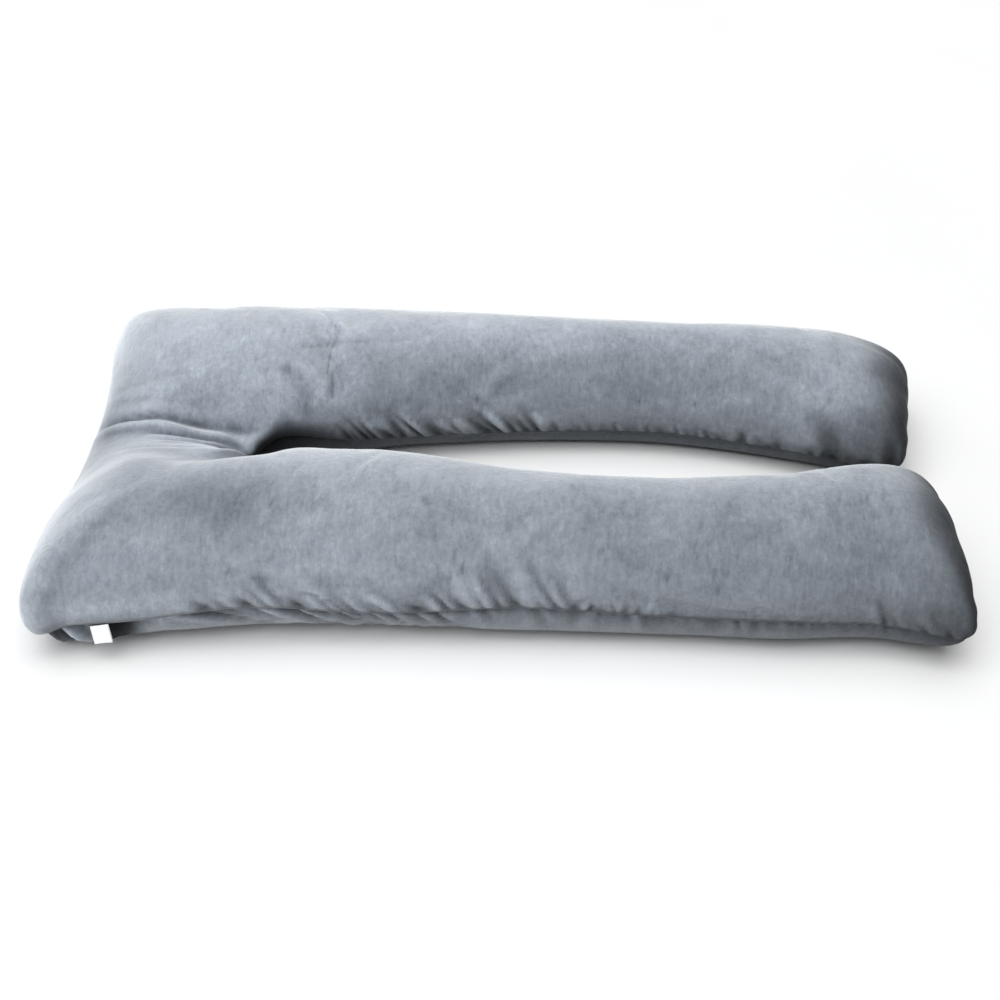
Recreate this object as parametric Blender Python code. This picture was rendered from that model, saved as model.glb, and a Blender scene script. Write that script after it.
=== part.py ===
"""U-shaped body pillow, filled and lying flat on a surface, in metres with +Z up.

One filled solid bends round a slot: two arms along +X with broad feet, joined by a head at -X.
A folded care label hangs from the seam at the head's front corner.
"""

import math
from collections import namedtuple

import bmesh
import bpy
import numpy as np
from mathutils import Matrix, Vector

# The filled cover
BELLY_SHARE = 0.46  # height of the widest part, as a share of the crown
UNDER_SAG = 1.07  # without the surface that flattens it, the under panel hangs this much lower
UNDER_FULLNESS = 2.6  # exponent of the under panel's curve, where 2 is an ellipse
INNER_SEAM = 0.052  # height of the seam along the slot
SEAM_TUCK = 0.004  # how far the sewn seam is drawn into the filling
TUCK_SPREAD = 0.4  # share of the seam's tuck that the points beside it follow
FOOT_ROUNDING = 0.115  # length over which each foot rounds down to its seam
FOOT_END_SHARE = 0.64  # width of a foot's end edge, as a share of the foot
FOOT_END_LEVEL = 0.42  # height of the seam round a foot's end, as a share of the crown
FOOT_END_EDGE = 0.02  # thickness left at a foot's end seam, as a share of the section

# The care label, a tape folded in two that hangs with its fold down
LABEL_X = -0.527
LABEL_WIDTH = 0.025
LABEL_DROP = 0.027  # from its cut ends to its fold
LABEL_PLY = 0.001
LABEL_PLY_GAP = 0.0006
LABEL_TILT = math.radians(3)  # its fold stands out from the pillow
LABEL_TURN = math.radians(4)  # its fold leans along the arm
LABEL_CLEARANCE = 0.002  # from the bottom of the seam's groove to the back ply's cut end

# Mesh divisions
STATIONS_PER_SECTION = 4
STATIONS_IN_FOOT = 10  # in the last section at each end, closer together towards the end
TOP_POINTS = 24
UNDER_POINTS = 14
FOLD_POINTS = 6

# From the far foot round the head to the near foot: plan points of each section's outer and inner
# edge, its crown height and the height of the seam along its outer edge
Section = namedtuple("Section", "outer_x outer_y inner_x inner_y crown outer_seam")
SECTIONS = (
    Section(0.641, 0.274, 0.625, 0.027, 0.168, 0.070),
    Section(0.523, 0.300, 0.523, 0.048, 0.186, 0.070),
    Section(0.403, 0.305, 0.403, 0.090, 0.186, 0.070),
    Section(0.253, 0.314, 0.253, 0.125, 0.180, 0.070),
    Section(0.083, 0.327, 0.083, 0.130, 0.180, 0.070),
    Section(-0.097, 0.342, -0.087, 0.118, 0.183, 0.070),
    Section(-0.257, 0.354, -0.217, 0.088, 0.188, 0.070),
    Section(-0.417, 0.364, -0.307, 0.063, 0.192, 0.070),
    Section(-0.583, 0.373, -0.359, 0.046, 0.186, 0.068),
    Section(-0.632, 0.309, -0.385, 0.032, 0.174, 0.066),
    Section(-0.617, 0.170, -0.397, 0.022, 0.150, 0.060),
    Section(-0.611, 0.052, -0.401, 0.014, 0.122, 0.052),
    Section(-0.618, -0.080, -0.397, 0.004, 0.148, 0.060),
    Section(-0.634, -0.208, -0.385, -0.006, 0.176, 0.066),
    Section(-0.624, -0.347, -0.359, -0.020, 0.188, 0.064),
    Section(-0.487, -0.349, -0.307, -0.032, 0.196, 0.068),
    Section(-0.327, -0.333, -0.227, -0.040, 0.200, 0.078),
    Section(-0.157, -0.331, -0.107, -0.054, 0.200, 0.070),
    Section(0.033, -0.335, 0.043, -0.098, 0.198, 0.077),
    Section(0.223, -0.342, 0.223, -0.120, 0.198, 0.069),
    Section(0.383, -0.354, 0.383, -0.110, 0.200, 0.069),
    Section(0.523, -0.357, 0.523, -0.082, 0.200, 0.062),
    Section(0.639, -0.409, 0.627, -0.072, 0.184, 0.066),
)


def smooth_sections():
    """The table's columns drawn through as smooth curves, sampled between the sections."""
    table = np.array(SECTIONS)
    ends = np.vstack([2 * table[0] - table[1], table, 2 * table[-1] - table[-2]])
    quarter_turn = np.linspace(0, math.pi / 2, STATIONS_IN_FOOT, endpoint=False)
    foot_steps = {1: 1 - np.cos(quarter_turn), len(table) - 1: np.sin(quarter_turn)}
    even_steps = np.linspace(0, 1, STATIONS_PER_SECTION, endpoint=False)
    rows = []
    for i in range(1, len(table)):
        before, start, stop, after = ends[i - 1 : i + 3]
        for t in foot_steps.get(i, even_steps):
            rows.append(
                start
                + 0.5 * t * (stop - before)
                + t * t * (before - 2.5 * start + 2 * stop - 0.5 * after)
                + t * t * t * (1.5 * (start - stop) + 0.5 * (after - before))
            )
    rows.append(table[-1])
    return [Section(*row) for row in rows]


def profile(section):
    """Points round a section as (share of half width, height), from the outer seam over the crown."""
    belly = BELLY_SHARE * section.crown
    drop = UNDER_SAG * belly
    power = 2 / UNDER_FULLNESS

    def under(angle):
        across = math.copysign(abs(math.cos(angle)) ** power, math.cos(angle))
        return across, max(0.0, belly - drop * abs(math.sin(angle)) ** power)

    def seam_angle(height):
        return math.asin(((belly - height) / drop) ** (1 / power))

    start = -seam_angle(section.outer_seam)
    finish = math.pi + seam_angle(INNER_SEAM)
    points = []
    for i in range(TOP_POINTS):
        angle = start + i / TOP_POINTS * (finish - start)
        if 0 <= angle <= math.pi:
            points.append((math.cos(angle), belly + (section.crown - belly) * math.sin(angle)))
        else:
            points.append(under(angle))
    for i in range(UNDER_POINTS):
        points.append(under(finish + i / UNDER_POINTS * (2 * math.pi + start - finish)))
    return points


def tuck(index):
    """How far a profile point is drawn in: all the way at either seam, less just beside it."""
    count = TOP_POINTS + UNDER_POINTS
    steps = min(min((index - seam) % count, (seam - index) % count) for seam in (0, TOP_POINTS))
    return SEAM_TUCK * TUCK_SPREAD**steps if steps < 2 else 0.0


def end_points(section):
    return Vector((section.outer_x, section.outer_y)), Vector((section.inner_x, section.inner_y))


def foot_share(section, end):
    """Least at a foot's end edge, rising to 1 where its full section begins."""
    middle = sum(end_points(section), Vector((0, 0))) / 2
    end_middle = sum(end_points(end), Vector((0, 0))) / 2
    left = max(0.0, 1 - (middle - end_middle).length / FOOT_ROUNDING)
    return max(FOOT_END_EDGE, math.sqrt(1 - left**2))


def pillow_rings():
    """Rings of points round the filled cover, one for each station; point 0 is on the outer seam."""
    stations = smooth_sections()
    rings = []
    for section in stations:
        outer, inner = end_points(section)
        middle = (outer + inner) / 2
        round_off = min(foot_share(section, stations[0]), foot_share(section, stations[-1]))
        half = (outer - inner) / 2 * (FOOT_END_SHARE + (1 - FOOT_END_SHARE) * round_off)
        end_height = FOOT_END_LEVEL * section.crown
        ring = []
        for i, (across, height) in enumerate(profile(section)):
            drawn_in = 1 - tuck(i) / half.length
            place = middle + half * across * drawn_in
            ring.append(Vector((*place, end_height + (height - end_height) * round_off)))
        rings.append(ring)
    return rings


def build_pillow(shape):
    rings = [[shape.verts.new(point) for point in ring] for ring in pillow_rings()]
    count = len(rings[0])
    for ring, following in zip(rings, rings[1:]):
        for i in range(count):
            j = (i + 1) % count
            shape.faces.new((ring[i], ring[j], following[j], following[i]))
    shape.faces.new(rings[0])
    shape.faces.new(rings[-1])


def label_section():
    """The folded tape seen from its side edge, as (out, up) points; its cut ends are at the top."""
    inner_radius = LABEL_PLY_GAP / 2
    outer_radius = inner_radius + LABEL_PLY
    fold_height = outer_radius - LABEL_DROP
    points = []
    for radius, way in ((outer_radius, 1), (inner_radius, -1)):
        points.append((-way * radius, 0))
        for i in range(FOLD_POINTS + 1):
            angle = math.pi * i / FOLD_POINTS
            points.append((-way * radius * math.cos(angle), fold_height - radius * math.sin(angle)))
        points.append((way * radius, 0))
    return points


def seam_place(x):
    """The point at x on the seam along the near arm's outer side."""
    seam = [ring[0] for ring in pillow_rings() if ring[0].y < 0]
    ahead = next(i for i, point in enumerate(seam) if point.x > x and seam[i - 1].x <= x)
    share = (x - seam[ahead - 1].x) / (seam[ahead].x - seam[ahead - 1].x)
    return seam[ahead - 1].lerp(seam[ahead], share)


def build_label(shape):
    side = LABEL_WIDTH / 2
    corners = [shape.verts.new((-side, -out, up)) for out, up in label_section()]
    edge = shape.faces.new(corners)
    width = bmesh.ops.extrude_face_region(shape, geom=[edge])
    moved = [item for item in width["geom"] if isinstance(item, bmesh.types.BMVert)]
    bmesh.ops.translate(shape, verts=moved, vec=(LABEL_WIDTH, 0, 0))
    turn = Matrix.Rotation(LABEL_TURN, 4, "Y") @ Matrix.Rotation(-LABEL_TILT, 4, "X")
    cut_ends = seam_place(LABEL_X) - Vector((0, LABEL_CLEARANCE + LABEL_PLY + LABEL_PLY_GAP / 2, 0))
    bmesh.ops.transform(shape, matrix=Matrix.Translation(cut_ends) @ turn, verts=shape.verts)


def add_object(name, build_shape, material):
    mesh = bpy.data.meshes.new(name)
    shape = bmesh.new()
    build_shape(shape)
    bmesh.ops.remove_doubles(shape, verts=shape.verts, dist=0.00001)
    bmesh.ops.recalc_face_normals(shape, faces=shape.faces)
    shape.to_mesh(mesh)
    shape.free()
    mesh.shade_smooth()
    mesh.materials.append(material)
    obj = bpy.data.objects.new(name, mesh)
    bpy.context.scene.collection.objects.link(obj)
    return obj


def cloth_material(name, colour, roughness):
    material = bpy.data.materials.new(name)
    material.use_nodes = True
    surface = material.node_tree.nodes["Principled BSDF"]
    surface.inputs["Base Color"].default_value = (*colour, 1)
    surface.inputs["Roughness"].default_value = roughness
    surface.inputs["Metallic"].default_value = 0
    return material


def main():
    for obj in list(bpy.data.objects):
        bpy.data.objects.remove(obj)
    velvet = cloth_material("grey_velvet", (0.25, 0.28, 0.32), 0.85)
    satin_tape = cloth_material("white_satin_tape", (0.85, 0.87, 0.90), 0.55)
    add_object("pillow", build_pillow, velvet)
    label = add_object("care_label", build_label, satin_tape)
    label.data.set_sharp_from_angle(angle=math.radians(40))


main()
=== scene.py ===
"""U-shaped velvet body pillow lying on a pale floor, with a small blank care label in its seam."""

import math
from collections import namedtuple

import bpy
import numpy as np
from mathutils import Matrix, Vector


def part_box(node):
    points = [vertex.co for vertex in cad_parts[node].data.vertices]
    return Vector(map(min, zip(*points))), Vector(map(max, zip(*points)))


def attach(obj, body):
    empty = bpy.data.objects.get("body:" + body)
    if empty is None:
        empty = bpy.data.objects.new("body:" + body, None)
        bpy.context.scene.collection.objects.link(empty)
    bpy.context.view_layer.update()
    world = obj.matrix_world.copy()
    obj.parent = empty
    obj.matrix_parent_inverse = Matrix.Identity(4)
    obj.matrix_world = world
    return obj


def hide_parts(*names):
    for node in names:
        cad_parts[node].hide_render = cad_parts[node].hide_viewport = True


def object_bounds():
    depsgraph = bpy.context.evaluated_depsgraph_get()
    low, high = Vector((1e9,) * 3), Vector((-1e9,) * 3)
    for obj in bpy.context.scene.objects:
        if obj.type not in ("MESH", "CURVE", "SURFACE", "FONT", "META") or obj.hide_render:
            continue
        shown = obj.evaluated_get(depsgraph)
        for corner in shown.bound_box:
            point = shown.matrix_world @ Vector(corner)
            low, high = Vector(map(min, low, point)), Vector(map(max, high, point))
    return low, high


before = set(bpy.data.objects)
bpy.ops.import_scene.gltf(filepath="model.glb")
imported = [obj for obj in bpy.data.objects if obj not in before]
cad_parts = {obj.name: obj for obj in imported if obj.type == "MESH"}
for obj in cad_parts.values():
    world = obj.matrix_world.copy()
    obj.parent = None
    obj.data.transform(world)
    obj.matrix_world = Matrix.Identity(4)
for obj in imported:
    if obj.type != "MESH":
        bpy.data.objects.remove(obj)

CAD_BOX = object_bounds()

# ---------------------------------------------------------------------------------------------
# Cut of the cover: sections across it, from the far foot round the head to the near foot, in
# metres. They follow the solid's, lower in the valley across the head.
# ---------------------------------------------------------------------------------------------
Section = namedtuple(
    "Section", "outer_x outer_y inner_x inner_y crown outer_seam inner_seam"
)
SECTIONS = (
    Section(0.663, 0.276, 0.617, 0.020, 0.158, 0.070, 0.026),
    Section(0.523, 0.300, 0.523, 0.048, 0.182, 0.070, 0.040),
    Section(0.403, 0.305, 0.403, 0.090, 0.187, 0.070, 0.041),
    Section(0.253, 0.315, 0.253, 0.125, 0.183, 0.070, 0.042),
    Section(0.083, 0.329, 0.083, 0.130, 0.187, 0.070, 0.041),
    Section(-0.097, 0.346, -0.087, 0.116, 0.192, 0.070, 0.042),
    Section(-0.257, 0.358, -0.217, 0.088, 0.197, 0.070, 0.056),
    Section(-0.417, 0.367, -0.307, 0.070, 0.197, 0.070, 0.080),
    Section(-0.596, 0.374, -0.348, 0.054, 0.184, 0.068, 0.076),
    Section(-0.624, 0.309, -0.361, 0.039, 0.172, 0.066, 0.070),
    Section(-0.614, 0.170, -0.368, 0.029, 0.140, 0.060, 0.060),
    Section(-0.622, 0.052, -0.3705, 0.0165, 0.112, 0.050, 0.048),
    Section(-0.625, -0.080, -0.367, 0.003, 0.138, 0.058, 0.056),
    Section(-0.634, -0.208, -0.358, -0.010, 0.174, 0.054, 0.056),
    Section(-0.628, -0.350, -0.345, -0.024, 0.188, 0.040, 0.054),
    Section(-0.565, -0.349, -0.329, -0.028, 0.191, 0.057, 0.053),
    Section(-0.487, -0.345, -0.307, -0.032, 0.196, 0.063, 0.052),
    Section(-0.327, -0.333, -0.227, -0.040, 0.200, 0.078, 0.052),
    Section(-0.157, -0.331, -0.107, -0.054, 0.200, 0.064, 0.052),
    Section(0.033, -0.335, 0.043, -0.098, 0.198, 0.079, 0.052),
    Section(0.223, -0.342, 0.223, -0.120, 0.198, 0.069, 0.052),
    Section(0.383, -0.354, 0.383, -0.110, 0.200, 0.069, 0.052),
    Section(0.523, -0.357, 0.523, -0.082, 0.200, 0.063, 0.052),
    Section(0.636, -0.400, 0.620, -0.072, 0.184, 0.056, 0.052),
)
BELLY_SHARE = 0.46  # height of the widest place, of the crown
UNDER_SAG = 1.07  # depth below that place, of its height: what passes the floor lies flat
UNDER_FULLNESS = 2.4  # 2 is an ellipse, and more is squarer
FOOT_ROUNDING = 0.115  # length over which a foot rounds off
FOOT_FULLNESS = 3.4
FOOT_END_SHARE = 0.66  # width left at a foot's end
FOOT_END_LEVEL = 0.42  # height of that end, of the crown
FOOT_END_EDGE = 0.02

# Mesh spacing over the cover
STATION_STEP = 0.0035
FINE_STEP = 0.0022  # beside the label, from one place along the pillow to another
FINE_STRETCH = (1.47, 1.67)
FOOT_STATIONS = 44
TOP_STEPS = (0.0034, 0.0058)  # beside the seams, over the crown
UNDER_STEPS = (0.0040, 0.0200)  # beside the seams, where it lies flat
SEAM_ZONE = 0.045  # distance over which the steps grow coarse
SEAM_FINE = 0.4  # share of that distance, beside a seam, where they stay fine
TOP_STRIP = 0.42  # a panel's usual width from seam to seam
UNDER_STRIP = 0.36
CURVE_SAMPLES = 40  # in each interval between sections
ROUTE_SAMPLES = 6  # in each interval of a crease's route
PROFILE_SAMPLES = 400
RULER_SAMPLES = 4000
FINE_BLEND = 0.05  # distance over which the fine stations give way to the others


def draw_through(table, per_interval):
    """Smooth curves through a table's rows, with per_interval samples from each row to the next."""
    ends = np.vstack([2 * table[0] - table[1], table, 2 * table[-1] - table[-2]])
    rows = []
    for i in range(1, len(table)):
        before, start, stop, after = ends[i - 1 : i + 3]
        for t in np.linspace(0, 1, per_interval, endpoint=False):
            rows.append(
                start
                + 0.5 * t * (stop - before)
                + t * t * (before - 2.5 * start + 2 * stop - 0.5 * after)
                + t * t * t * (1.5 * (start - stop) + 0.5 * (after - before))
            )
    rows.append(table[-1])
    return np.array(rows)


def station_places(length):
    """Distances along the pillow for its stations, closer together round each foot's end."""
    turn = np.linspace(0, math.pi / 2, FOOT_STATIONS)
    foot = FOOT_ROUNDING * (1 - np.cos(turn))
    ruler = np.linspace(FOOT_ROUNDING, length - FOOT_ROUNDING, RULER_SAMPLES)
    start, stop = FINE_STRETCH
    from_fine = np.maximum(start - ruler, ruler - stop)
    step = FINE_STEP + (STATION_STEP - FINE_STEP) * np.clip(from_fine / FINE_BLEND, 0, 1)
    count = np.concatenate([[0], np.cumsum(np.diff(ruler) / ((step[1:] + step[:-1]) / 2))])
    middle = np.interp(np.linspace(0, count[-1], int(count[-1]) + 1)[1:-1], count, ruler)
    return np.concatenate([foot, middle, (length - foot)[::-1]])


def spaced(length, fine, coarse):
    """Shares from 0 to 1 along a strip, fine near both its seams and coarse between them."""
    ruler = np.linspace(0, length, RULER_SAMPLES // 2)
    from_seam = np.minimum(ruler, length - ruler)
    blend = np.clip((from_seam - SEAM_ZONE * SEAM_FINE) / SEAM_ZONE, 0, 1)
    step = fine + (coarse - fine) * blend * blend * (3 - 2 * blend)
    count = np.concatenate([[0], np.cumsum(np.diff(ruler) / ((step[1:] + step[:-1]) / 2))])
    total = int(round(count[-1] / 2)) * 2
    return np.interp(np.linspace(0, count[-1], total + 1)[:-1], count, ruler / length)


def half_profile(crown, outer_seam, inner_seam, panel):
    """Dense points of one panel across a section, as (share of half width, height)."""
    belly = BELLY_SHARE * crown
    drop = UNDER_SAG * belly
    power = 2 / UNDER_FULLNESS
    outer_angle = math.asin(((belly - outer_seam) / drop) ** (1 / power))
    inner_angle = math.asin(((belly - inner_seam) / drop) ** (1 / power))
    if panel == "top":
        angle = np.linspace(-outer_angle, math.pi + inner_angle, PROFILE_SAMPLES)
    else:
        angle = np.linspace(math.pi + inner_angle, 2 * math.pi - outer_angle, PROFILE_SAMPLES)
    over = np.sin(angle) >= 0
    across = np.where(over, np.cos(angle), np.sign(np.cos(angle)) * np.abs(np.cos(angle)) ** power)
    low = np.maximum(0.0, belly - drop * np.abs(np.sin(angle)) ** power)
    height = np.where(over, belly + (crown - belly) * np.sin(angle), low)
    return across, height


class Cover:
    """The filled cover as a grid: one row of points round the pillow for each station."""

    def __init__(self):
        dense = draw_through(np.array(SECTIONS), CURVE_SAMPLES)
        middle = (dense[:, 0:2] + dense[:, 2:4]) / 2
        along = np.concatenate([[0], np.cumsum(np.linalg.norm(np.diff(middle, axis=0), axis=1))])
        self.length = along[-1]
        self.along = station_places(self.length)
        rows = np.array([np.interp(self.along, along, column) for column in dense.T]).T
        top_shares = spaced(TOP_STRIP, *TOP_STEPS)
        under_shares = spaced(UNDER_STRIP, *UNDER_STEPS)
        self.top_count = len(top_shares)
        self.around = len(top_shares) + len(under_shares)
        self.points = np.zeros((len(rows), self.around, 3))
        self.seam_distance = np.zeros((len(rows), self.around))
        self.seam_share = np.zeros((len(rows), self.around))
        for k, row in enumerate(rows):
            self.lay_section(k, row, top_shares, under_shares)

    def lay_section(self, k, row, top_shares, under_shares):
        outer, inner, crown = row[0:2], row[2:4], row[4]
        middle = (outer + inner) / 2
        to_end = min(self.along[k], self.length - self.along[k])
        left = max(0.0, 1 - to_end / FOOT_ROUNDING)
        round_off = max(FOOT_END_EDGE, (1 - left**FOOT_FULLNESS) ** (1 / FOOT_FULLNESS))
        half = (outer - inner) / 2 * (FOOT_END_SHARE + (1 - FOOT_END_SHARE) * round_off)
        width = np.linalg.norm(half)
        level = FOOT_END_LEVEL * crown
        start = 0
        for panel, shares in (("top", top_shares), ("under", under_shares)):
            across, height = half_profile(crown, row[5], row[6], panel)
            height = level + (height - level) * round_off
            step = np.hypot(np.diff(across) * width, np.diff(height))
            ruler = np.concatenate([[0], np.cumsum(step)])
            place = shares * ruler[-1]
            span = slice(start, start + len(shares))
            self.points[k, span, 0:2] = middle + np.outer(np.interp(place, ruler, across), half)
            self.points[k, span, 2] = np.interp(place, ruler, height)
            self.seam_distance[k, span] = np.minimum(place, ruler[-1] - place)
            self.seam_share[k, span] = shares if panel == "top" else 1 - shares
            start += len(shares)


def grid_mesh(name, points):
    """A closed tube of quads over a grid of points, with a face across each end. It faces inwards,
    so a cloth simulation's pressure draws it in."""
    stations, around, _ = points.shape
    index = np.arange(stations * around).reshape(stations, around)
    ahead = np.roll(index, -1, axis=1)
    quads = np.stack([index[:-1], ahead[:-1], ahead[1:], index[1:]], axis=-1).reshape(-1, 4)
    faces = [tuple(int(i) for i in quad) for quad in quads]
    faces.append(tuple(int(i) for i in index[0][::-1]))
    faces.append(tuple(int(i) for i in index[-1]))
    mesh = bpy.data.meshes.new(name)
    mesh.from_pydata(points.reshape(-1, 3).tolist(), [], faces)
    mesh.update()
    return mesh


def link(name, mesh):
    """A new object in the scene with this mesh."""
    obj = bpy.data.objects.new(name, mesh)
    bpy.context.scene.collection.objects.link(obj)
    return obj


def outward(points):
    """Unit directions out of a tube's grid of points."""
    around = np.roll(points, -1, axis=1) - np.roll(points, 1, axis=1)
    out = np.cross(np.gradient(points, axis=0), around)
    size = np.linalg.norm(out, axis=2, keepdims=True)
    return out / np.maximum(size, 1e-12)


def smooth_step(x):
    """0 below 0, 1 above 1 and a smooth rise between."""
    x = np.clip(x, 0, 1)
    return x * x * (3 - 2 * x)


# ---------------------------------------------------------------------------------------------
# Gathers: uneven folds that start in a seam and run out into a panel. The rim seam follows the
# outside of the U and the slot seam its inside; lean is how far a fold shifts towards the near
# foot for each metre that it runs from its seam.
# ---------------------------------------------------------------------------------------------
Gather = namedtuple("Gather", "panel seam start stop spacing reach lean depth")
GATHERS = (
    Gather("top", "slot", 0.03, 0.15, 0.030, 0.075, 0.2, 0.0080),
    Gather("top", "slot", 0.15, 0.30, 0.016, 0.042, 0.1, 0.0046),
    Gather("top", "slot", 0.30, 0.58, 0.014, 0.036, 0.3, 0.0038),
    Gather("top", "slot", 0.58, 0.90, 0.020, 0.060, 0.7, 0.0080),
    Gather("top", "rim", 1.70, 1.80, 0.023, 0.065, -0.5, 0.0070),
    Gather("top", "rim", 1.80, 1.94, 0.016, 0.060, -0.9, 0.0048),
    Gather("top", "rim", 1.94, 2.13, 0.023, 0.100, -0.4, 0.0060),
    Gather("top", "rim", 2.13, 2.27, 0.016, 0.040, 0.0, 0.0042),
    Gather("top", "rim", 2.27, 2.54, 0.015, 0.024, 0.1, 0.0020),
    Gather("top", "rim", 2.54, 2.64, 0.015, 0.060, -0.3, 0.0045),
    Gather("top", "rim", 0.00, 1.20, 0.022, 0.045, 0.2, 0.0025),
)
# Pleats of the recessed under panel along the rim seam, pressed in after the simulation
PLEATS = (
    Gather("under", "rim", 1.500, 1.592, 0.0120, 0.120, 0.2, 0.0075),
    Gather("under", "rim", 1.67, 1.80, 0.026, 0.090, 1.2, 0.0085),
    Gather("under", "rim", 1.80, 1.95, 0.018, 0.080, 0.9, 0.0065),
    Gather("under", "rim", 1.95, 2.12, 0.022, 0.060, 0.5, 0.0055),
    Gather("under", "rim", 2.12, 2.55, 0.019, 0.050, 0.1, 0.0035),
)
GATHER_RISE = 0.010  # distance from its seam at which a gather is full
GATHER_SEED = 7
# How far folds differ from their row in the table: the last is added, the others multiply
SPACING_RANGE = (0.65, 1.45)
REACH_RANGE = (0.5, 1.35)
DEPTH_RANGE = (0.35, 1.25)
WIDTH_RANGE = (0.28, 0.42)
LEAN_RANGE = (-0.25, 0.25)


def fold_across(offset):
    """Cross-section of a fold: a narrow trough between two soft ridges."""
    return 1.5 * np.exp(-(offset**2)) - 0.55 * np.exp(-(offset**2) / 4)


def gather_depth(cover, gathers):
    """How far gathers draw each point in, or let it out where it is negative."""
    draw = np.random.default_rng(GATHER_SEED)
    depth = np.zeros(cover.seam_distance.shape)
    on_top = np.arange(cover.around)[None, :] < cover.top_count
    near_rim = cover.seam_share < 0.5
    distance = cover.seam_distance
    along = cover.along[:, None]
    for gather in gathers:
        panel = on_top if gather.panel == "top" else ~on_top
        side = near_rim if gather.seam == "rim" else ~near_rim
        place = gather.start
        while place < gather.stop:
            spacing = gather.spacing * draw.uniform(*SPACING_RANGE)
            reach = gather.reach * draw.uniform(*REACH_RANGE)
            deep = gather.depth * draw.uniform(*DEPTH_RANGE)
            lean = gather.lean + draw.uniform(*LEAN_RANGE)
            width = spacing * draw.uniform(*WIDTH_RANGE) * (1 + distance / reach)
            fold = fold_across((along - place - lean * distance) / width)
            fade = smooth_step(distance / GATHER_RISE) * (1 - smooth_step(distance / reach))
            depth += np.where(panel & side, deep * fold * fade, 0)
            place += spacing
    return depth


# Gathers round the end of each foot, at shares of the way across from the rim to the slot
EndGather = namedtuple("EndGather", "foot panel share width reach depth")
END_GATHERS = (
    EndGather("far", "top", 0.16, 0.040, 0.09, 0.0022),
    EndGather("far", "top", 0.34, 0.050, 0.12, 0.0030),
    EndGather("far", "top", 0.55, 0.050, 0.10, 0.0016),
    EndGather("far", "top", 0.74, 0.060, 0.10, 0.0014),
    EndGather("far", "top", 0.90, 0.050, 0.11, 0.0012),
    EndGather("near", "top", 0.07, 0.030, 0.08, 0.0010),
    EndGather("near", "top", 0.17, 0.040, 0.10, 0.0014),
    EndGather("near", "top", 0.40, 0.060, 0.08, 0.0020),
    EndGather("near", "top", 0.62, 0.055, 0.12, 0.0020),
    EndGather("near", "top", 0.78, 0.055, 0.10, 0.0018),
    EndGather("near", "under", 0.20, 0.050, 0.10, 0.0015),
    EndGather("near", "under", 0.45, 0.050, 0.10, 0.0030),
    EndGather("far", "under", 0.55, 0.050, 0.10, 0.0030),
)


def end_gather_depth(cover):
    """How far the gathers round the feet draw each point in."""
    depth = np.zeros(cover.seam_distance.shape)
    on_top = np.arange(cover.around)[None, :] < cover.top_count
    for gather in END_GATHERS:
        from_end = cover.along if gather.foot == "far" else cover.length - cover.along
        fade = (1 - smooth_step(from_end / gather.reach))[:, None]
        fold = fold_across((cover.seam_share - gather.share) / gather.width)
        panel = on_top if gather.panel == "top" else ~on_top
        depth += np.where(panel, gather.depth * fold * fade, 0)
    return depth


# ---------------------------------------------------------------------------------------------
# Creases drawn over the top, as routes seen from above. The cloth sinks along a route by depth and stands
# up by lip on its right as it runs.
# ---------------------------------------------------------------------------------------------
Crease = namedtuple("Crease", "route width depth lip")
VALLEY = (
    (-0.620, 0.096), (-0.592, 0.087), (-0.555, 0.079), (-0.519, 0.074), (-0.478, 0.068),
    (-0.436, 0.065), (-0.400, 0.062), (-0.368, 0.062), (-0.345, 0.064),
)
CREASES = (
    # the valley across the head, where the near side laps over the far one, and finer ridges
    Crease(VALLEY, 0.0090, 0.0110, 0.0080),
    Crease(((-0.530, 0.040), (-0.466, 0.038), (-0.410, 0.041), (-0.366, 0.046)), 0.0060, 0.0034, 0.0032),
    Crease(((-0.510, 0.018), (-0.440, 0.013), (-0.405, 0.014), (-0.374, 0.020)), 0.0065, 0.0028, 0.0026),
    Crease(((-0.560, -0.010), (-0.490, -0.024), (-0.430, -0.030), (-0.390, -0.030)), 0.008, 0.0022, 0.0020),
    Crease(((-0.600, 0.130), (-0.550, 0.112), (-0.500, 0.098), (-0.430, 0.086)), 0.009, 0.0012, 0.0010),
    Crease(((-0.604, 0.160), (-0.560, 0.146), (-0.500, 0.136), (-0.450, 0.130)), 0.009, 0.0010, 0.0008),
    # a fold drawn down the far arm into the slot, and two faint ones over the arms
    Crease(((-0.330, 0.132), (-0.290, 0.108), (-0.270, 0.088)), 0.012, 0.0040, 0.0030),
    Crease(((-0.340, 0.150), (-0.240, 0.172), (-0.130, 0.190), (-0.060, 0.226)), 0.007, 0.0009, 0.0007),
    Crease(((-0.100, -0.225), (-0.085, -0.270), (-0.078, -0.310)), 0.006, 0.0010, 0.0008),
)


# Broad places where the top lies lower; each fades in over the first share of its route
Sink = namedtuple("Sink", "route width depth fade")
SINKS = (
    # the far side of the valley falls towards the slot
    Sink(((-0.520, 0.080), (-0.470, 0.074), (-0.420, 0.068), (-0.382, 0.062)), 0.033, 0.026, 0.7),
    # the near side gives way before the slot's inner end
    Sink(((-0.425, 0.050), (-0.395, 0.046), (-0.372, 0.038)), 0.022, 0.006, 0.7),
    # the dip between the valley and the hump of the near arm
    Sink(
        ((-0.530, -0.090), (-0.480, -0.086), (-0.430, -0.080), (-0.380, -0.074), (-0.350, -0.068)),
        0.042, 0.022, 0.5,
    ),
)
CREASE_TAPER = 0.2  # share of a crease's route over which it starts and ends
LIP_PLACE = 1.6  # of a lip beside its crease, in widths
SINK_FOOT = 0.055  # below this height nothing sinks
SINK_RISE = 0.050  # and this much higher it sinks fully


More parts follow.
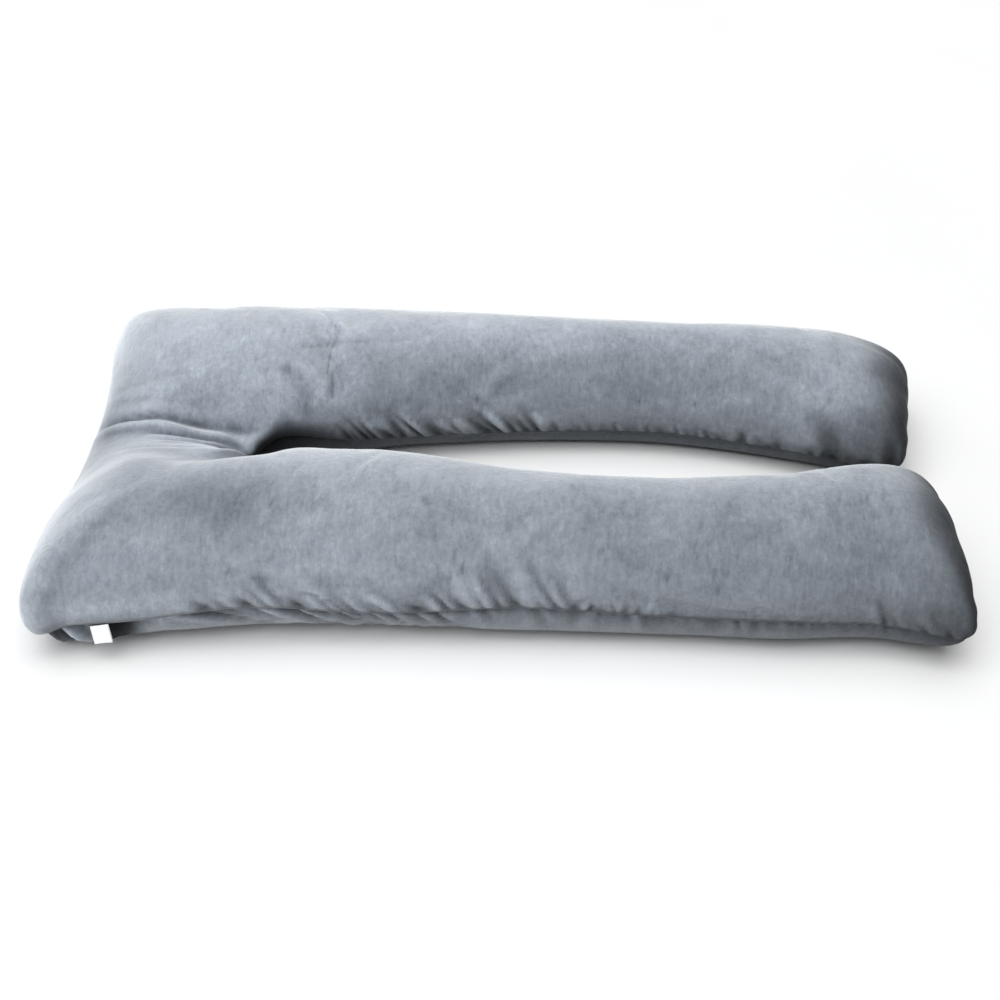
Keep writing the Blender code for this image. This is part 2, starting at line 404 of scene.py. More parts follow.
def route_distance(points, route):
    """Distance from a route seen from above, positive on its left, and the share travelled."""
    route = np.array(route)
    best = np.full(points.shape[:2], 1e9)
    signed = np.zeros(points.shape[:2])
    share = np.zeros(points.shape[:2])
    steps = np.linalg.norm(np.diff(route, axis=0), axis=1)
    gone = np.concatenate([[0], np.cumsum(steps)]) / steps.sum()
    for i, step in enumerate(steps):
        run = (route[i + 1] - route[i]) / step
        offset = points[..., 0:2] - route[i]
        ahead = np.clip(offset @ run, 0, step)
        gap = offset - ahead[..., None] * run
        away = np.linalg.norm(gap, axis=2)
        closer = away < best
        left = np.sign(run[0] * gap[..., 1] - run[1] * gap[..., 0])
        best = np.where(closer, away, best)
        signed = np.where(closer, away * left, signed)
        share = np.where(closer, gone[i] + (gone[i + 1] - gone[i]) * ahead / step, share)
    return signed, share


def sink_depth(cover, points):
    """How far down each point of the top lies lower."""
    depth = np.zeros(cover.seam_distance.shape)
    for sink in SINKS:
        away, share = route_distance(points, draw_through(np.array(sink.route), ROUTE_SAMPLES))
        depth += sink.depth * smooth_step(share / sink.fade) * np.exp(-((away / sink.width) ** 2))
    on_top = np.arange(cover.around)[None, :] < cover.top_count
    return np.where(on_top, depth * smooth_step((points[..., 2] - SINK_FOOT) / SINK_RISE), 0)


def crease_depth(cover, points):
    """How far the creases draw each point of the top in, or lift it where it is negative."""
    depth = np.zeros(cover.seam_distance.shape)
    on_top = np.arange(cover.around)[None, :] < cover.top_count
    for crease in CREASES:
        away, share = route_distance(points, draw_through(np.array(crease.route), ROUTE_SAMPLES))
        taper = smooth_step(share / CREASE_TAPER) * smooth_step((1 - share) / CREASE_TAPER)
        trough = crease.depth * np.exp(-((away / crease.width) ** 2))
        ridge = crease.lip * np.exp(-(((away + LIP_PLACE * crease.width) / crease.width) ** 2))
        depth += np.where(on_top, (trough - ridge) * taper, 0)
    return depth


# ---------------------------------------------------------------------------------------------
# Filling: the cover is drawn in on its filling, and what spare cloth there is beside its seams
# wrinkles
# ---------------------------------------------------------------------------------------------
PRESSURE = 3.0  # the way the mesh faces, which is inwards
FILL_STEPS = 20
SPARE_CLOTH = 0.08  # share by which the cloth is longer at a seam
SPARE_REACH = 0.075  # and the distance at which none is left
BENDING = 0.05
FOLD_LENGTH = 0.040  # what varies more slowly than this along the pillow is left out
EVEN_KEPT = 0.15  # except this share of it
MOST_MOVE = 0.010
# share of the folds kept at places along the pillow: the feet and the far corner are plump
KEPT_FOLDS = (
    (0.00, 0.15), (0.15, 0.40), (0.30, 1.00), (0.92, 1.00), (1.02, 0.35), (1.14, 0.15),
    (1.40, 0.15), (1.62, 0.25), (1.74, 1.00), (2.36, 1.00), (2.52, 0.40), (2.66, 0.15),
)
ON_FLOOR = 0.0015  # points lower than this stay where they are
PINCHED = 0.0012  # and those whose stations lie closer than this
SLACK = 0.001  # the cover starts this much inside its plump shape
SLACK_RISE = 0.05  # height over which that sets in
LEAST_SPARE = 0.01  # share of the spare cloth below which a point gets none


def fill_cover(cover, start):
    """Movement of every second point round the cover as it is drawn in on its filling."""
    coarse = start[:, ::2]
    distance = cover.seam_distance[:, ::2]
    obj = link("cover_in_work", grid_mesh("cover_in_work", coarse))
    station_gap = np.linalg.norm(np.gradient(cover.points[:, ::2], axis=0), axis=2)
    held = (distance == 0) | (cover.points[:, ::2, 2] < ON_FLOOR) | (station_gap < PINCHED)
    held[[0, -1]] = True
    spare = 1 - smooth_step(distance / SPARE_REACH)
    hold_group = obj.vertex_groups.new(name="held")
    hold_group.add([int(i) for i in np.flatnonzero(held)], 1.0, "REPLACE")
    spare_group = obj.vertex_groups.new(name="spare")
    for i in np.flatnonzero(spare > LEAST_SPARE):
        spare_group.add([int(i)], float(spare.flat[i]), "REPLACE")
    cloth = obj.modifiers.new("Cloth", "CLOTH")
    cloth.point_cache.frame_start = 1
    cloth.point_cache.frame_end = FILL_STEPS
    cloth.collision_settings.use_collision = False
    cloth.collision_settings.use_self_collision = False
    settings = cloth.settings
    settings.quality = 5
    settings.mass = 0.3
    settings.vertex_group_mass = "held"
    settings.pin_stiffness = 1.0
    settings.tension_stiffness = 15
    settings.compression_stiffness = 15
    settings.shear_stiffness = 5
    settings.bending_stiffness = BENDING
    settings.use_pressure = True
    settings.uniform_pressure_force = PRESSURE
    settings.shrink_min = 0.0
    settings.shrink_max = -SPARE_CLOTH
    settings.vertex_group_shrink = "spare"
    settings.effector_weights.gravity = 0
    scene = bpy.context.scene
    scene.frame_start, scene.frame_end = 1, FILL_STEPS
    for step in range(1, FILL_STEPS + 1):
        scene.frame_set(step)
    filled = obj.evaluated_get(bpy.context.evaluated_depsgraph_get()).to_mesh()
    after = np.zeros(len(filled.vertices) * 3)
    filled.vertices.foreach_get("co", after)
    scene.frame_set(1)
    bpy.data.objects.remove(obj)
    return after.reshape(coarse.shape) - coarse


def keep_folds(cover, move):
    """Leave the folds in a movement and most of its even part out, under a soft limit."""
    gaps = (cover.along[:, None] - cover.along[None, :]) / FOLD_LENGTH
    weights = np.exp(-0.5 * gaps**2) * np.gradient(cover.along)
    weights /= weights.sum(axis=1, keepdims=True)
    even = np.tensordot(weights, move, axes=1)
    move = move - (1 - EVEN_KEPT) * even
    size = np.maximum(np.linalg.norm(move, axis=2, keepdims=True), 1e-9)
    kept = np.interp(cover.along, *np.transpose(KEPT_FOLDS))
    return move * MOST_MOVE * np.tanh(size / MOST_MOVE) / size * kept[:, None, None]


def between_points(move):
    """Movement of all points round the cover from that of every second one, by a cubic through the
    four nearest."""
    full = np.zeros((move.shape[0], move.shape[1] * 2, 3))
    full[:, ::2] = move
    before, after, beyond = (np.roll(move, shift, 1) for shift in (1, -1, -2))
    full[:, 1::2] = (9 * (move + after) - before - beyond) / 16
    return full


# ---------------------------------------------------------------------------------------------
# Pillow
# ---------------------------------------------------------------------------------------------
# How far the rim seam draws the top panel and the under panel in, along the pillow: the top laps
# over the under panel, most of all beside the label
Tuck = namedtuple("Tuck", "place over under reach")
RIM_TUCKS = (
    Tuck(0.00, 0.002, 0.003, 0.020),
    Tuck(0.10, 0.003, 0.007, 0.026),
    Tuck(1.00, 0.003, 0.006, 0.026),
    Tuck(1.15, 0.001, 0.001, 0.020),
    Tuck(1.50, 0.001, 0.002, 0.020),
    Tuck(1.525, 0.002, 0.004, 0.020),
    Tuck(1.545, 0.004, 0.016, 0.022),
    Tuck(1.56, 0.004, 0.024, 0.024),
    Tuck(1.575, 0.003, 0.026, 0.026),
    Tuck(1.595, 0.002, 0.034, 0.036),
    Tuck(1.625, 0.002, 0.026, 0.032),
    Tuck(1.65, 0.002, 0.008, 0.028),
    Tuck(1.74, 0.003, 0.018, 0.040),
    Tuck(1.84, 0.003, 0.013, 0.030),
    Tuck(1.95, 0.003, 0.012, 0.026),
    Tuck(2.05, 0.003, 0.016, 0.026),
    Tuck(2.55, 0.003, 0.014, 0.026),
    Tuck(2.66, 0.002, 0.004, 0.020),
)
SLOT_TUCKS = (
    Tuck(0.00, 0.003, 0.010, 0.026),
    Tuck(0.60, 0.003, 0.008, 0.026),
    Tuck(0.85, 0.003, 0.010, 0.030),
    Tuck(1.10, 0.003, 0.018, 0.034),
    Tuck(1.40, 0.003, 0.010, 0.026),
    Tuck(2.66, 0.003, 0.007, 0.026),
)
TUCK_OVER = 0.006  # how far a tuck reaches into the top panel
SEAM_TUCKED = 0.35  # share of a tuck at the seam itself
TUCK_LIP = 0.009  # distance from the seam at which it is full under it
# Spare cloth of the under panel lying pleated on the floor beside the label: places along the
# pillow, and how far it comes out there
POOL = (
    (1.480, 0.000), (1.502, 0.009), (1.528, 0.009), (1.546, 0.005), (1.562, 0.008), (1.578, 0.012),
    (1.600, 0.010), (1.618, 0.006), (1.635, 0.000),
)
POOL_PLACE = 0.045  # from the seam
POOL_WIDTH = 0.018
HOLLOW_REACH = 3  # times that the surface is smoothed, to compare it with itself
HOLLOW_SCALE = 0.0012  # depth of a clear hollow
RIDGE_SHARE = 0.3  # ridges stand out less than troughs
SLOT_APART = 0.20  # places nearer than this along the pillow are on the same side of the slot
SLOT_WIDE = 0.15  # the shade fades where the slot is wider than about this
SLOT_SIDE = 0.040  # how far up its sides the shade reaches
SLOT_DARK = 3.2  # this and the darks below are powers of e


def seam_tuck(cover):
    """How far the seams draw each point in."""
    on_top = np.arange(cover.around)[None, :] < cover.top_count
    distance = cover.seam_distance
    depth = np.zeros(distance.shape)
    for tucks, beside in ((RIM_TUCKS, cover.seam_share < 0.5), (SLOT_TUCKS, cover.seam_share >= 0.5)):
        table = np.array(tucks)
        over, under, reach = (
            np.interp(cover.along, table[:, 0], column)[:, None] for column in table[:, 1:].T
        )
        lip = SEAM_TUCKED + (1 - SEAM_TUCKED) * smooth_step(distance / TUCK_LIP)
        below = under * lip * np.exp(-((distance / reach) ** 2))
        above = over * np.exp(-((distance / TUCK_OVER) ** 2))
        depth = np.where(beside, np.where(on_top, above, below), depth)
    return depth


def pool_out(cover):
    """How far the pleated cloth beside the label comes out."""
    out = np.interp(cover.along, *np.transpose(POOL))[:, None]
    under = np.arange(cover.around)[None, :] >= cover.top_count
    spread = np.exp(-(((cover.seam_distance - POOL_PLACE) / POOL_WIDTH) ** 2))
    return np.where(under & (cover.seam_share < 0.5), out * spread, 0)


def soften(points, times):
    """A tube's grid of points, averaged with its neighbours so many times."""
    soft = points.copy()
    for _ in range(times):
        soft[1:-1] = (soft[:-2] + 2 * soft[1:-1] + soft[2:]) / 4
        soft = (np.roll(soft, 1, 1) + 2 * soft + np.roll(soft, -1, 1)) / 4
    return soft


def hollows(points):
    """From 0 on a ridge to 1 in a trough, 0.5 where the cloth runs smooth."""
    lifted = np.sum((soften(points, HOLLOW_REACH) - points) * outward(points), axis=2)
    lifted = np.where(lifted > 0, lifted, RIDGE_SHARE * lifted)
    return 0.5 + 0.5 * np.tanh(lifted / HOLLOW_SCALE)


def slot_shade(cover, points):
    """From 0 to 1 down the sides of the slot, most where the arms come close together: painted shade, for
    the light that the arms keep out."""
    inner = points[:, cover.top_count, 0:2]
    gap = np.linalg.norm(inner[:, None] - inner[None], axis=2)
    gap[np.abs(cover.along[:, None] - cover.along[None]) < SLOT_APART] = math.inf
    close = np.exp(-((gap.min(axis=1) / SLOT_WIDE) ** 2))
    on_top = np.arange(cover.around)[None, :] < cover.top_count
    at_slot = cover.seam_share >= 0.5
    side = np.where(on_top, 1 - smooth_step(cover.seam_distance / SLOT_SIDE), 1.0)
    return np.where(at_slot, close[:, None] * side, 0)


# Painted shade and light under the lip of the rim seam beside the label: dark and light pleats, and the
# shade in the pocket that the lip leaves; width is along the pillow and reach is down from the seam
Pocket = namedtuple("Pocket", "place width reach dark")
POCKETS = (
    Pocket(1.536, 0.0040, 0.110, 1.7), Pocket(1.543, 0.0030, 0.110, 1.6),
    Pocket(1.550, 0.0030, 0.110, 1.4), Pocket(1.559, 0.0035, 0.110, -0.4),
    Pocket(1.567, 0.0030, 0.110, -0.3), Pocket(1.593, 0.0100, 0.130, 3.6),
    Pocket(1.607, 0.0110, 0.075, 3.6),
)
SEAM_LINE = 0.0050  # width of the line of painted shade along the seam
SEAM_DARK = 0.9
END_REACH = 0.046  # of the painted shade round the feet's ends, from the solid's end inwards
END_DARK = 1.6
END_DARKEST = 3.2
FOLD_DARK = 0.65  # painted shade in the troughs of gathers
FOLD_DEEP = 0.006  # a fold this deep is darkened fully
SLOT_FOLDS = 1.8  # how much more those beside the slot count


# Broad places of painted light and shade, lighter where tone is positive
Patch = namedtuple("Patch", "x y length width tone")
LIGHT_AND_SHADE_PATCHES = (
    Patch(-0.600, 0.060, 0.050, 0.160, -0.62),  # the head's outer edge
    Patch(-0.500, 0.020, 0.110, 0.070, -0.22),  # below the valley
    Patch(-0.480, -0.110, 0.100, 0.060, -0.36),  # the hump's shoulder
    Patch(-0.380, -0.230, 0.130, 0.060, -0.36),  # the near arm beside the head
    Patch(-0.230, -0.120, 0.140, 0.060, 0.14),  # the hump's back
    Patch(-0.150, -0.305, 0.350, 0.028, 0.08),  # low on the near arm
    Patch(0.050, 0.148, 0.420, 0.028, -0.24),  # low on the far arm
    Patch(0.560, 0.140, 0.060, 0.120, 0.20),  # the far foot
    Patch(0.575, 0.045, 0.060, 0.024, -0.55),  # and its slot side
    Patch(0.560, -0.260, 0.070, 0.090, 0.14),  # the near foot
)


def pocket_shade(cover):
    """Painted shade: the dark line along the seam, and the painted shade and light of the pleats and the
    pocket beside the label.
    """
    shade = SEAM_DARK * np.exp(-((cover.seam_distance / SEAM_LINE) ** 2))
    under = np.arange(cover.around)[None, :] >= cover.top_count
    at_rim = under & (cover.seam_share < 0.5)
    for pocket in POCKETS:
        along = np.exp(-(((cover.along - pocket.place) / pocket.width) ** 2))[:, None]
        down = 1 - smooth_step(cover.seam_distance / pocket.reach)
        shade += np.where(at_rim, pocket.dark * along * down, 0)
    return shade


# Painted light and shade by the way the cloth faces and by its place, as powers of e
PAINTED_BASE = 0.08
PAINTED_UP = 0.3
PAINTED_DOWN = -0.6  # under PAINTED_LEVEL
PAINTED_LEVEL = 0.1
PAINTED_BACK = 0.22  # over the top only, as the next
PAINTED_TURNED = 0.27  # once it faces back by TURNED_BACK, and less over TURNED_OVER before that
TURNED_BACK = 0.25
TURNED_OVER = 0.55
OVER_TOP_FROM = 0.2
OVER_TOP_OVER = 0.4
PAINTED_FRONT = 0.2
PAINTED_FRONT_UP = -0.4
PAINTED_Y = 0.7  # for each metre
PAINTED_X = -0.2
PAINTED_SIDE_X = -0.45  # more of it on upright cloth
PAINTED_RIGHT = 4.8  # painted shade, darker by the square of how far it faces right
FLAT_END_FROM = 0.92  # the flat of a foot's end, where the painted shade is less dark than at its edge
FLAT_END_OVER = 0.07
FLAT_END_LIGHT = 0.7
PAINTED_SOFTENED = 12  # times that the surface is smoothed first
RIDGE_LIGHT = 0.3  # share of a trough's painted shade by which a ridge is painted lighter


def paint_light_and_shade(cover, points, folds):
    """Painted light and shade on the cloth: lighter over the top and back and towards the back and left,
    darker down the sides, round the ends, in the folds, into the slot, along the seams and in the pocket by
    the label."""
    out = outward(soften(points, PAINTED_SOFTENED))
    right, back, up = out[..., 0], out[..., 1], out[..., 2]
    x, y = points[..., 0], points[..., 1]
    over_top = smooth_step((up - OVER_TOP_FROM) / OVER_TOP_OVER)
    turned = 1 - smooth_step((TURNED_BACK - back) / TURNED_OVER)
    tone_and_shade = PAINTED_BASE + PAINTED_UP * up + PAINTED_DOWN * np.maximum(PAINTED_LEVEL - up, 0)
    tone_and_shade += over_top * (PAINTED_BACK * np.maximum(back, 0) + PAINTED_TURNED * turned)
    tone_and_shade += np.maximum(-back, 0) * (PAINTED_FRONT + PAINTED_FRONT_UP * np.maximum(up, 0))
    tone_and_shade += PAINTED_Y * y + (PAINTED_X + PAINTED_SIDE_X * smooth_step(1 - 2 * up)) * x
    folds = folds * np.where(cover.seam_share < 0.5, 1, SLOT_FOLDS)
    tone_and_shade -= FOLD_DARK * np.clip(folds / FOLD_DEEP, -RIDGE_LIGHT, 1)
    for patch in LIGHT_AND_SHADE_PATCHES:
        reach = ((x - patch.x) / patch.length) ** 2 + ((y - patch.y) / patch.width) ** 2
        tone_and_shade += patch.tone * np.exp(-reach)
    dark = PAINTED_RIGHT * np.maximum(right, 0) ** 2
    dark += END_DARK * np.exp(-np.maximum(CAD_BOX[1][0] - x, 0) / END_REACH)
    flat_end = smooth_step((right - FLAT_END_FROM) / FLAT_END_OVER)
    tone_and_shade -= END_DARKEST * np.tanh(dark / END_DARKEST) * (1 - FLAT_END_LIGHT * flat_end)
    return np.exp(tone_and_shade - SLOT_DARK * slot_shade(cover, points) - pocket_shade(cover))


def make_pillow(cover):
    """The filled cover, its faces turned outwards once it is shaped, and its rim seam's points."""
    gathers, pleats = gather_depth(cover, GATHERS), gather_depth(cover, PLEATS)
    depth = gathers + end_gather_depth(cover)
    depth += SLACK * smooth_step(cover.points[..., 2] / SLACK_RISE)
    points = cover.points - outward(cover.points) * depth[..., None]
    points += between_points(keep_folds(cover, fill_cover(cover, points)))
    points[..., 2] -= sink_depth(cover, points)
    by_hand = crease_depth(cover, points) + pleats + seam_tuck(cover) - pool_out(cover)
    points -= outward(cover.points) * by_hand[..., None]
    points[..., 2] = np.maximum(points[..., 2], 0)
    pillow = link("filled_cover", grid_mesh("filled_cover", points))
    mesh = pillow.data
    mesh.flip_normals()
    # painted light and shade, kept on the cloth for its colour and sheen
    painted_light_and_shade = paint_light_and_shade(cover, points, gathers + pleats)
    for name, values in (("hollow", hollows(points)), ("painted_light_and_shade", painted_light_and_shade)):
        mesh.attributes.new(name, "FLOAT", "POINT").data.foreach_set("value", values.ravel())
    mesh.polygons.foreach_set("use_smooth", [True] * len(mesh.polygons))
    return pillow, points[:, 0]


# ---------------------------------------------------------------------------------------------
# Care label: a white satin ribbon folded in half, its ends caught in the seam at the near corner
# ---------------------------------------------------------------------------------------------
LABEL_WIDTH = 0.025
LABEL_DROP = 0.027
LABEL_PLY = 0.0004
LABEL_FOLD = 0.0011  # radius of the fold at its foot
LABEL_SHUT = 0.00032  # half the gap between its plies where they are caught
LABEL_OPENS = 1.3  # how soon the plies part below that
LABEL_CAUGHT = -0.003  # where its ends lie, out from the seam
LABEL_TILT = math.radians(11)
LABEL_TURN = math.radians(-9)
LABEL_CURL = 0.0014
LABEL_TWIST = 0.6
LABEL_ROWS = 24
LABEL_COLUMNS = 13
LABEL_BEND_STEPS = 9


def ribbon_line():
    """The folded ribbon from the side, as (out, up), from the seam down to the fold and back."""
    down = np.linspace(0, 1, LABEL_ROWS)
    open_out = LABEL_SHUT + (LABEL_FOLD - LABEL_SHUT) * smooth_step(down * LABEL_OPENS)
    straight = LABEL_DROP - LABEL_FOLD
    front = np.stack([open_out, -down * straight], axis=-1)
    turn = np.linspace(0, math.pi, LABEL_BEND_STEPS)[1:-1]
    bend = np.stack([np.cos(turn), -np.sin(turn)], axis=-1) * LABEL_FOLD - (0, straight)
    back = front[::-1] * (-1, 1)
    return np.concatenate([front, bend, back])


def make_label(seam):
    """A ribbon caught in the seam where the solid's label is; seam is the rim seam's points."""
    low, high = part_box("care_label")
    middle = (low + high) / 2
    near_side = seam[seam[:, 1] < middle.y / 2]
    near_side = near_side[np.argsort(near_side[:, 0])]
    caught = Vector([np.interp(middle.x, near_side[:, 0], column) for column in near_side.T])
    line = ribbon_line()
    across = np.linspace(-0.5, 0.5, LABEL_COLUMNS)
    out, up = line[:, None, 0], line[:, None, 1]
    curl = LABEL_CURL * (up / LABEL_DROP) ** 2 * (2 * across**2 + LABEL_TWIST * across)
    grid = np.stack([across * LABEL_WIDTH + 0 * up, -out - curl, up + 0 * across], axis=-1)
    rows = len(line)
    index = np.arange(rows * LABEL_COLUMNS).reshape(rows, LABEL_COLUMNS)
    quads = np.stack([index[:-1, :-1], index[1:, :-1], index[1:, 1:], index[:-1, 1:]], axis=-1)
    mesh = bpy.data.meshes.new("care_label_ribbon")
    mesh.from_pydata(grid.reshape(-1, 3).tolist(), [], quads.reshape(-1, 4).tolist())
    length = np.concatenate([[0], np.cumsum(np.linalg.norm(np.diff(line, axis=0), axis=1))])
    flat = np.stack([across * LABEL_WIDTH + 0 * up, length[:, None] + 0 * across], axis=-1)
    corners = np.array([corner for polygon in mesh.polygons for corner in polygon.vertices])
    mesh.uv_layers.new(name="cloth").data.foreach_set("uv", flat.reshape(-1, 2)[corners].ravel())
    mesh.polygons.foreach_set("use_smooth", [True] * len(mesh.polygons))
    turn = Matrix.Rotation(LABEL_TURN, 4, "Y") @ Matrix.Rotation(-LABEL_TILT, 4, "X")
    mesh.transform(Matrix.Translation(caught + Vector((0, LABEL_CAUGHT, 0))) @ turn)
    label = link("care_label_ribbon", mesh)
    thicken = label.modifiers.new("ply", "SOLIDIFY")
    thicken.thickness = LABEL_PLY
    thicken.offset = 0
    ready = bpy.data.meshes.new_from_object(
        label.evaluated_get(bpy.context.evaluated_depsgraph_get())
    )
    label.modifiers.remove(thicken)
    label.data = ready
    return label


# ---------------------------------------------------------------------------------------------
# Materials
# ---------------------------------------------------------------------------------------------
def new_material(name):
    material = bpy.data.materials.new(name)
    material.use_nodes = True
    nodes = material.node_tree.nodes
    return material, nodes, nodes["Principled BSDF"]


def maths(nodes, operation, first, second):
    node = nodes.new("ShaderNodeMath")
    node.operation = operation
    for socket, value in zip(node.inputs, (first, second)):
        if isinstance(value, bpy.types.NodeSocket):
            node.id_data.links.new(value, socket)
        else:
            socket.default_value = value
    return node.outputs[0]


def noise(nodes, vector, scale, detail, roughness=0.5, distortion=0.0):
    node = nodes.new("ShaderNodeTexNoise")
    node.id_data.links.new(vector, node.inputs["Vector"])
    node.inputs["Scale"].default_value = scale
    node.inputs["Detail"].default_value = detail
    node.inputs["Roughness"].default_value = roughness
    node.inputs["Distortion"].default_value = distortion
    return node.outputs["Fac"]


def attribute(nodes, name):
    node = nodes.new("ShaderNodeAttribute")
    node.attribute_name = name
    return node.outputs["Fac"]


def weighted(nodes, *parts):
    """Sum of (value - 0.5) * weight over the parts."""
    total = None
    for value, weight in parts:
        part = maths(nodes, "MULTIPLY", maths(nodes, "SUBTRACT", value, 0.5), weight)
        total = part if total is None else maths(nodes, "ADD", total, part)
    return total


def ramp(nodes, value, *stops):
    node = nodes.new("ShaderNodeValToRGB")
    elements = node.color_ramp.elements
    while len(elements) < len(stops):
        elements.new(1.0)
    for element, (place, colour) in zip(elements, stops):
        element.position = place
        element.color = (*colour, 1)
    node.id_data.links.new(value, node.inputs["Fac"])
    return node.outputs["Color"]


def stretched(nodes, vector, scale, turn=0.0):
    node = nodes.new("ShaderNodeMapping")
    node.inputs["Scale"].default_value = scale
    node.inputs["Rotation"].default_value = (0, 0, turn)
    node.id_data.links.new(vector, node.inputs["Vector"])
    return node.outputs["Vector"]


def crushed_velvet():
    """Slate blue short-pile velvet with random mottling; its colour and sheen carry painted light and
    shade, darker in troughs and lighter on ridges.
    """
    material, nodes, shader = new_material("crushed_velvet")
    links = material.node_tree.links
    solid = nodes.new("ShaderNodeTexCoord").outputs["Object"]
    hollow = attribute(nodes, "hollow")
    painted_light_and_shade = attribute(nodes, "painted_light_and_shade")
    cloud = noise(nodes, solid, scale=7.0, detail=2.0)
    pressed = noise(nodes, solid, scale=32.0, detail=5.0, roughness=0.66, distortion=0.6)
    strokes = stretched(nodes, solid, (170, 50, 50), turn=0.15)
    brushed = noise(nodes, strokes, scale=1.0, detail=3.0, roughness=0.65, distortion=0.6)
    crushed = noise(nodes, solid, scale=120.0, detail=4.0, roughness=0.7, distortion=0.5)
    pile = noise(nodes, solid, scale=1100.0, detail=2.0)
    # the hollow term paints shade into troughs and light onto ridges
    tone_and_shade = weighted(
        nodes, (cloud, 0.55), (pressed, 0.6), (brushed, 0.55), (crushed, 0.55), (pile, 0.2),
        (hollow, -0.9),
    )
    tone = maths(nodes, "ADD", tone_and_shade, 0.5)
    colour = ramp(
        nodes, tone,
        (0.0, (0.075, 0.085, 0.101)), (0.35, (0.160, 0.182, 0.212)), (0.6, (0.230, 0.258, 0.297)),
        (1.0, (0.360, 0.392, 0.435)),
    )
    # the colour is scaled by the painted light and shade
    shade = nodes.new("ShaderNodeVectorMath")
    shade.operation = "SCALE"
    links.new(colour, shade.inputs[0])
    links.new(painted_light_and_shade, shade.inputs["Scale"])
    colour = shade.outputs["Vector"]
    links.new(colour, shader.inputs["Base Color"])
    dry = maths(nodes, "ADD", maths(nodes, "MULTIPLY", pressed, 0.25), 0.68)
    links.new(dry, shader.inputs["Roughness"])
    # the sheen follows the painted light and shade as well
    links.new(painted_light_and_shade, shader.inputs["Sheen Weight"])
    shader.inputs["Sheen Roughness"].default_value = 0.5
    shader.inputs["Sheen Tint"].default_value = (0.92, 0.96, 1.0, 1)
    shader.inputs["Specular IOR Level"].default_value = 0.2
    height = weighted(nodes, (pressed, 1.2), (brushed, 0.35), (crushed, 0.45), (pile, 0.2))
    bump = nodes.new("ShaderNodeBump")
    bump.inputs["Strength"].default_value = 0.6
    bump.inputs["Distance"].default_value = 0.003
    links.new(height, bump.inputs["Height"])
    links.new(bump.outputs["Normal"], shader.inputs["Normal"])
    return material


def woven_ribbon():
    """White satin ribbon: long floats across fine threads."""
    material, nodes, shader = new_material("woven_satin_ribbon")
    links = material.node_tree.links
    cloth = nodes.new("ShaderNodeTexCoord").outputs["UV"]
    floats = noise(
        nodes, stretched(nodes, cloth, (700, 4500, 1)), scale=1.0, detail=2.0, roughness=0.6
    )
    threads = noise(
        nodes, stretched(nodes, cloth, (3600, 500, 1)), scale=1.0, detail=2.0, roughness=0.6
    )
    rumple = noise(nodes, cloth, scale=160.0, detail=2.0)
    tone = maths(nodes, "ADD", weighted(nodes, (floats, 0.5), (threads, 0.5), (rumple, 0.6)), 0.5)
    colour = ramp(nodes, tone, (0.1, (0.82, 0.83, 0.85)), (0.7, (0.93, 0.94, 0.95)))
    links.new(colour, shader.inputs["Base Color"])
    gloss = maths(nodes, "ADD", maths(nodes, "MULTIPLY", floats, 0.3), 0.35)
    links.new(gloss, shader.inputs["Roughness"])
    shader.inputs["Sheen Weight"].default_value = 0.15
    bump = nodes.new("ShaderNodeBump")
    bump.inputs["Strength"].default_value = 0.5
    bump.inputs["Distance"].default_value = 0.0004
    links.new(weighted(nodes, (floats, 1.0), (threads, 1.0), (rumple, 2.0)), bump.inputs["Height"])
    links.new(bump.outputs["Normal"], shader.inputs["Normal"])
    return material


def white_studio_floor():
    material, nodes, shader = new_material("white_studio_floor")
    links = material.node_tree.links
    place = nodes.new("ShaderNodeTexCoord").outputs["Object"]
    mottle = noise(nodes, place, scale=1.5, detail=2.0)
    colour = ramp(nodes, mottle, (0.3, (0.90, 0.90, 0.90)), (0.7, (0.92, 0.92, 0.92)))
    links.new(colour, shader.inputs["Base Color"])
    shader.inputs["Roughness"].default_value = 0.9
    shader.inputs["Specular IOR Level"].default_value = 0.0
    return material


# ---------------------------------------------------------------------------------------------
# Studio
# ---------------------------------------------------------------------------------------------
FLOOR_SIDE = 16.0
FLOOR_GAP = 0.0004
AIM = Vector((0.005, -0.085, -0.024))  # from the middle of the solid's box
CAMERA_DISTANCE = 2.436
CAMERA_ELEVATION = math.radians(36.5)
LENS = 60.55
SUN_PLACE = 3  # from the pillow: only the direction to a wide light counts


def make_floor(material):
    mesh = bpy.data.meshes.new("studio_floor")
    half = FLOOR_SIDE / 2
    corners = [(-half, -half), (half, -half), (half, half), (-half, half)]
    mesh.from_pydata([(x, y, -FLOOR_GAP) for x, y in corners], [], [(0, 1, 2, 3)])
    mesh.materials.append(material)
    return link("studio_floor", mesh)


def aim_from(obj, place, target):
    obj.location = place
    obj.rotation_euler = (target - place).to_track_quat("-Z", "Y").to_euler()


def make_camera(target):
    camera = bpy.data.cameras.new("studio_camera")
    camera.lens = LENS
    camera.clip_start = 0.05
    back = Vector((0, -math.cos(CAMERA_ELEVATION), math.sin(CAMERA_ELEVATION)))
    obj = bpy.data.objects.new("studio_camera", camera)
    bpy.context.scene.collection.objects.link(obj)
    aim_from(obj, target + back * CAMERA_DISTANCE, target)
    bpy.context.scene.camera = obj


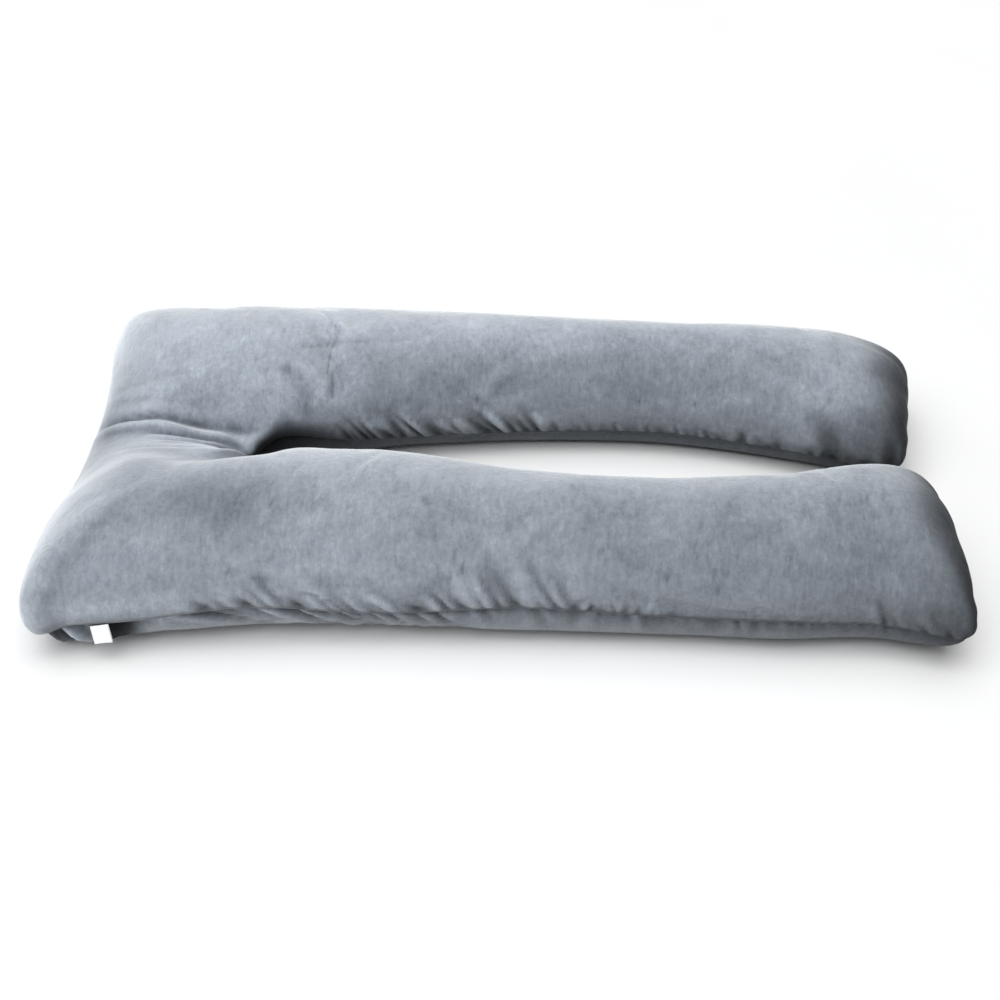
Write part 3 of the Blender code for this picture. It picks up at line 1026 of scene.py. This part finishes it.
def wide_light(name, azimuth, elevation, spread, irradiance):
    """A soft source far off, as wide as spread seen from the pillow; azimuth 0 is the front and
    270 the left."""
    azimuth, elevation = math.radians(azimuth), math.radians(elevation)
    flat = math.cos(elevation)
    place = Vector((math.sin(azimuth) * flat, -math.cos(azimuth) * flat, math.sin(elevation)))
    light = bpy.data.lights.new(name, "SUN")
    light.energy = irradiance
    light.angle = math.radians(spread)
    obj = bpy.data.objects.new(name, light)
    bpy.context.scene.collection.objects.link(obj)
    aim_from(obj, place * SUN_PLACE, Vector((0, 0, 0)))


def near_light(name, place, side, power):
    """A square softbox standing near enough to fall off across the pillow."""
    light = bpy.data.lights.new(name, "AREA")
    light.shape = "SQUARE"
    light.size = side
    light.energy = power
    obj = bpy.data.objects.new(name, light)
    bpy.context.scene.collection.objects.link(obj)
    aim_from(obj, Vector(place), Vector((0, 0, 0)))


def light_studio():
    wide_light("ceiling_softbox", azimuth=180, elevation=85, spread=60, irradiance=1.10)
    wide_light("front_softbox", azimuth=15, elevation=60, spread=50, irradiance=0.84)
    wide_light("front_left_softbox", azimuth=315, elevation=60, spread=50, irradiance=1.25)
    near_light("low_left_softbox", place=(-1.5, -1.5, 0.45), side=1.0, power=6.5)
    near_light("back_left_softbox", place=(-1.5, 1.4, 1.0), side=1.2, power=3.0)
    world = bpy.data.worlds.new("studio_air")
    world.use_nodes = True
    air = world.node_tree.nodes["Background"]
    air.inputs["Color"].default_value = (0.96, 0.98, 1.0, 1)
    air.inputs["Strength"].default_value = 0.16
    bpy.context.scene.world = world
    bpy.context.scene.view_settings.view_transform = "Standard"


def main():
    cover = Cover()
    pillow, seam = make_pillow(cover)
    pillow.data.materials.append(crushed_velvet())
    label = make_label(seam)
    label.data.materials.append(woven_ribbon())
    floor = make_floor(white_studio_floor())

    middle = (Vector(CAD_BOX[0]) + Vector(CAD_BOX[1])) / 2
    make_camera(middle + AIM)
    light_studio()

    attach(pillow, "root")
    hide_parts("pillow")
    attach(label, "root")
    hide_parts("care_label")


main()
